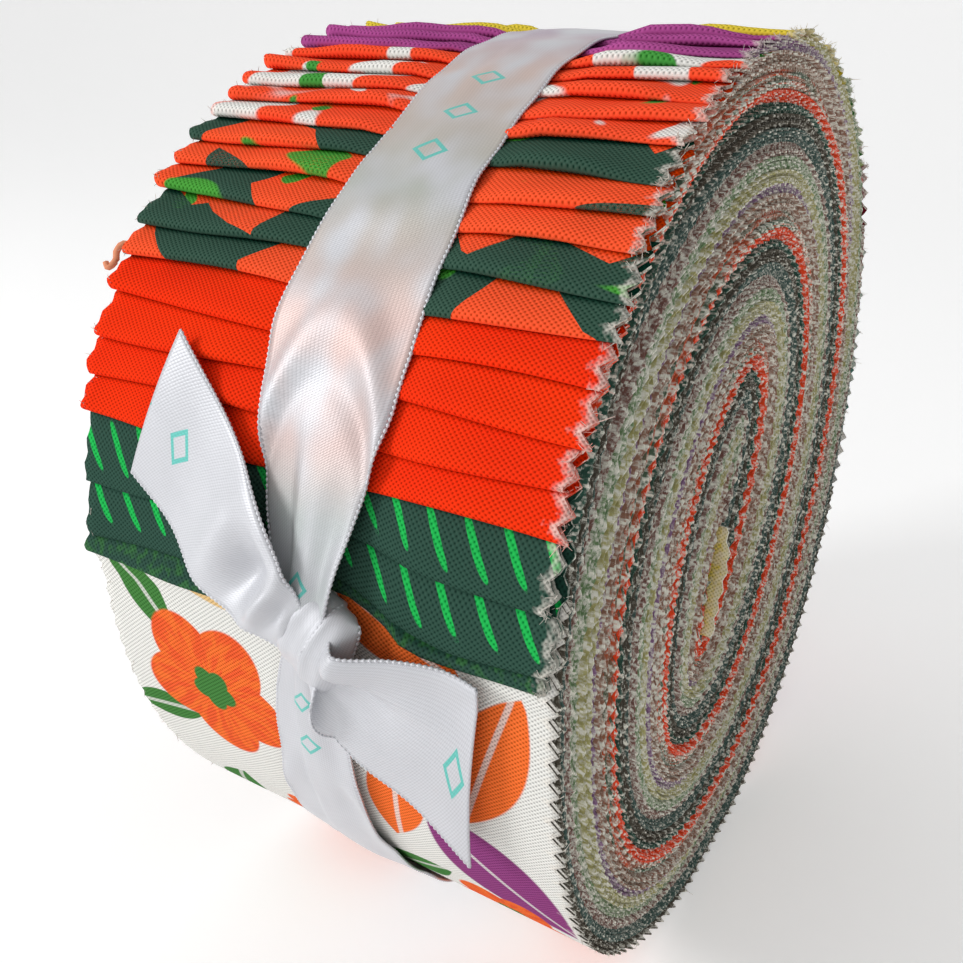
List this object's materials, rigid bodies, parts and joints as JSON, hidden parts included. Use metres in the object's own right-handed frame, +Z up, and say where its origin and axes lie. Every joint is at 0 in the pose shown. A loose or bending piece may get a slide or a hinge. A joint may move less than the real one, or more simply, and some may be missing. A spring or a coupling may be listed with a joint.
{
  "type": "fabric strip roll",
  "caption": "Roll of folded printed cotton strips with pinked edges, wound like shingles and tied round the middle with a knotted satin ribbon.",
  "frame": {"origin": "bottom centre of the part's box, on the surface that the roll stands on", "axes": "+X along the roll's axis, +Z up, -Y towards the front where the ribbon is knotted"},
  "size_m": [0.0636, 0.131, 0.1234],
  "materials": {
    "cotton_strips": "printed plain-weave cotton, matt, with pinked edges",
    "satin_ribbon": "soft white satin with woven edges"
  },
  "bodies": {
    "root": {"wound_strips": "cotton_strips", "tie_ribbon": "satin_ribbon"}
  },
  "joints": []
}
